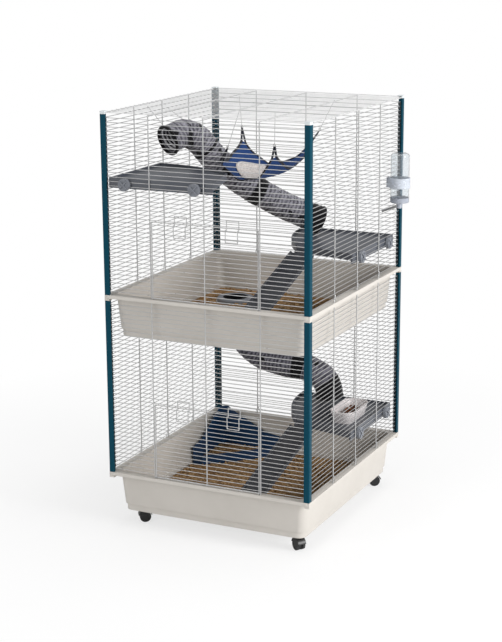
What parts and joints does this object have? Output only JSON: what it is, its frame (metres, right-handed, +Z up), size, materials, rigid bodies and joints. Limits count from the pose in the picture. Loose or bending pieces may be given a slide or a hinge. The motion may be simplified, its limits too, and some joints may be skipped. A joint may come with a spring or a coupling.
{
  "type": "ferret cage",
  "caption": "Tall wire pet cage on casters: stacked deep trays, corner posts, drop-down doors, shelves with ramps, fabric tunnels, hammock, corner litter pan, bowl and bottle.",
  "frame": {"origin": "on the floor under the casters, at the middle of the part's bounding box in plan", "axes": "+Z up; +Y from the front with its doors to the back; +X to the right, towards the bottle"},
  "size_m": [0.8238, 0.846, 1.448],
  "materials": {
    "tray": "satin warm grey moulding",
    "cap": "satin warm grey moulding",
    "post": "semi-gloss teal",
    "wire": "pale grey coated wire",
    "shelf": "satin slate grey moulding",
    "knob": "smoky grey moulding",
    "plush": "short mottled plush",
    "cloth": "woven cloth with a dark binding",
    "lining": "cream fleece",
    "clear": "clear blown bottle",
    "bottle_black": "gloss black moulding",
    "steel": "bright drawn tube",
    "clamp": "pale moulding",
    "pan": "gloss navy moulding",
    "bowl": "gloss off-white moulding",
    "caster": "matt black moulding"
  },
  "bodies": {
    "cage": {"base_tray": "tray", "mid_tray": "tray", "floor_hole_ring": "tray", "lower_post_fl": "post", "lower_post_fr": "post", "lower_post_rl": "post", "lower_post_rr": "post", "upper_post_fl": "post", "upper_post_fr": "post", "upper_post_rl": "post", "upper_post_rr": "post", "post_caps": "cap", "lower_front_panel": "wire", "lower_rear_panel": "wire", "lower_left_panel": "wire", "lower_right_panel": "wire", "upper_front_panel": "wire", "upper_rear_panel": "wire", "upper_left_panel": "wire", "upper_right_panel": "wire", "roof_grille": "wire", "panel_clips": "wire", "high_shelf": "shelf", "upper_shelf": "shelf", "lower_shelf": "shelf", "upper_tunnel": "plush", "lower_tunnel": "plush", "hangers": "wire", "hammock": "cloth", "hammock_lining": "lining", "bottle": "clear", "bottle_cap": "bottle_black", "bottle_spout": "steel", "bottle_clamp": "clamp"},
    "lower_door": {"lower_door": "wire"},
    "upper_door": {"upper_door": "wire"},
    "lower_latch_left": {"lower_latch_left": "wire"},
    "lower_latch_right": {"lower_latch_right": "wire"},
    "upper_latch_left": {"upper_latch_left": "wire"},
    "upper_latch_right": {"upper_latch_right": "wire"},
    "high_knob_left": {"high_knob_left": "knob"},
    "high_knob_right": {"high_knob_right": "knob"},
    "upper_knob_front": {"upper_knob_front": "knob"},
    "upper_knob_rear": {"upper_knob_rear": "knob"},
    "lower_knob_front": {"lower_knob_front": "knob"},
    "lower_knob_rear": {"lower_knob_rear": "knob"},
    "upper_ramp": {"upper_ramp": "shelf"},
    "lower_ramp": {"lower_ramp": "shelf"},
    "spout_ball": {"spout_ball": "steel"},
    "litter_pan": {"litter_pan": "pan"},
    "bowl": {"bowl": "bowl"},
    "caster_fork_fl": {"caster_fork_fl": "caster"},
    "caster_fork_fr": {"caster_fork_fr": "caster"},
    "caster_fork_rl": {"caster_fork_rl": "caster"},
    "caster_fork_rr": {"caster_fork_rr": "caster"},
    "caster_wheel_fl": {"caster_wheel_fl": "caster"},
    "caster_wheel_fr": {"caster_wheel_fr": "caster"},
    "caster_wheel_rl": {"caster_wheel_rl": "caster"},
    "caster_wheel_rr": {"caster_wheel_rr": "caster"}
  },
  "joints": [
    {"name": "lower_door_hinge", "type": "hinge", "parent": "cage", "child": "lower_door", "pos_m": [-0.03288, -0.4075, 0.203], "axis": [1, 0, 0], "range_deg": [0, 105]},
    {"name": "lower_latch_left_slide", "type": "slide", "parent": "lower_door", "child": "lower_latch_left", "axis": [0, 0, -1], "range_m": [0, 0.022]},
    {"name": "lower_latch_right_slide", "type": "slide", "parent": "lower_door", "child": "lower_latch_right", "axis": [0, 0, -1], "range_m": [0, 0.022]},
    {"name": "upper_door_hinge", "type": "hinge", "parent": "cage", "child": "upper_door", "pos_m": [-0.03288, -0.4075, 0.833], "axis": [1, 0, 0], "range_deg": [0, 105]},
    {"name": "upper_latch_left_slide", "type": "slide", "parent": "upper_door", "child": "upper_latch_left", "axis": [0, 0, -1], "range_m": [0, 0.022]},
    {"name": "upper_latch_right_slide", "type": "slide", "parent": "upper_door", "child": "upper_latch_right", "axis": [0, 0, -1], "range_m": [0, 0.022]},
    {"name": "high_knob_left_turn", "type": "hinge", "parent": "cage", "child": "high_knob_left", "pos_m": [-0.32488, -0.406, 1.208], "axis": [0, -1, 0], "continuous": true},
    {"name": "high_knob_right_turn", "type": "hinge", "parent": "cage", "child": "high_knob_right", "pos_m": [-0.06488, -0.406, 1.208], "axis": [0, -1, 0], "continuous": true},
    {"name": "upper_knob_front_turn", "type": "hinge", "parent": "cage", "child": "upper_knob_front", "pos_m": [0.33713, 0.034, 0.938], "axis": [1, 0, 0], "continuous": true},
    {"name": "upper_knob_rear_turn", "type": "hinge", "parent": "cage", "child": "upper_knob_rear", "pos_m": [0.33713, 0.294, 0.938], "axis": [1, 0, 0], "continuous": true},
    {"name": "lower_knob_front_turn", "type": "hinge", "parent": "cage", "child": "lower_knob_front", "pos_m": [0.33713, 0.034, 0.308], "axis": [1, 0, 0], "continuous": true},
    {"name": "lower_knob_rear_turn", "type": "hinge", "parent": "cage", "child": "lower_knob_rear", "pos_m": [0.33713, 0.294, 0.308], "axis": [1, 0, 0], "continuous": true},
    {"name": "upper_ramp_lift", "type": "hinge", "parent": "cage", "child": "upper_ramp", "pos_m": [0.13635, 0.01679, 0.936], "axis": [-0.9659, 0.2588, 0], "range_deg": [0, 5]},
    {"name": "lower_ramp_lift", "type": "hinge", "parent": "cage", "child": "lower_ramp", "pos_m": [0.13635, 0.01679, 0.306], "axis": [-0.9659, 0.2588, 0], "range_deg": [0, 5]},
    {"name": "spout_ball_push", "type": "slide", "parent": "cage", "child": "spout_ball", "axis": [0.9272, 0, 0.3746], "range_m": [0, 0.0012]},
    {"name": "litter_pan_lift", "type": "slide", "parent": "cage", "child": "litter_pan", "axis": [0, 0, 1], "range_m": [0, 0.12]},
    {"name": "bowl_lift", "type": "slide", "parent": "cage", "child": "bowl", "axis": [0, 0, 1], "range_m": [0, 0.2]},
    {"name": "caster_swivel_fl", "type": "hinge", "parent": "cage", "child": "caster_fork_fl", "pos_m": [-0.33187, -0.335, 0.053], "axis": [0, 0, 1], "continuous": true},
    {"name": "caster_roll_fl", "type": "hinge", "parent": "caster_fork_fl", "child": "caster_wheel_fl", "pos_m": [-0.32123, -0.32754, 0.02], "axis": [-0.5736, 0.8192, 0], "continuous": true},
    {"name": "caster_swivel_fr", "type": "hinge", "parent": "cage", "child": "caster_fork_fr", "pos_m": [0.26613, -0.335, 0.053], "axis": [0, 0, 1], "continuous": true},
    {"name": "caster_roll_fr", "type": "hinge", "parent": "caster_fork_fr", "child": "caster_wheel_fr", "pos_m": [0.27677, -0.34246, 0.02], "axis": [0.5736, 0.8192, 0], "continuous": true},
    {"name": "caster_swivel_rl", "type": "hinge", "parent": "cage", "child": "caster_fork_rl", "pos_m": [-0.33187, 0.343, 0.053], "axis": [0, 0, 1], "continuous": true},
    {"name": "caster_roll_rl", "type": "hinge", "parent": "caster_fork_rl", "child": "caster_wheel_rl", "pos_m": [-0.32123, 0.33554, 0.02], "axis": [0.5736, 0.8192, 0], "continuous": true},
    {"name": "caster_swivel_rr", "type": "hinge", "parent": "cage", "child": "caster_fork_rr", "pos_m": [0.26613, 0.343, 0.053], "axis": [0, 0, 1], "continuous": true},
    {"name": "caster_roll_rr", "type": "hinge", "parent": "caster_fork_rr", "child": "caster_wheel_rr", "pos_m": [0.27677, 0.35046, 0.02], "axis": [-0.5736, 0.8192, 0], "continuous": true}
  ]
}
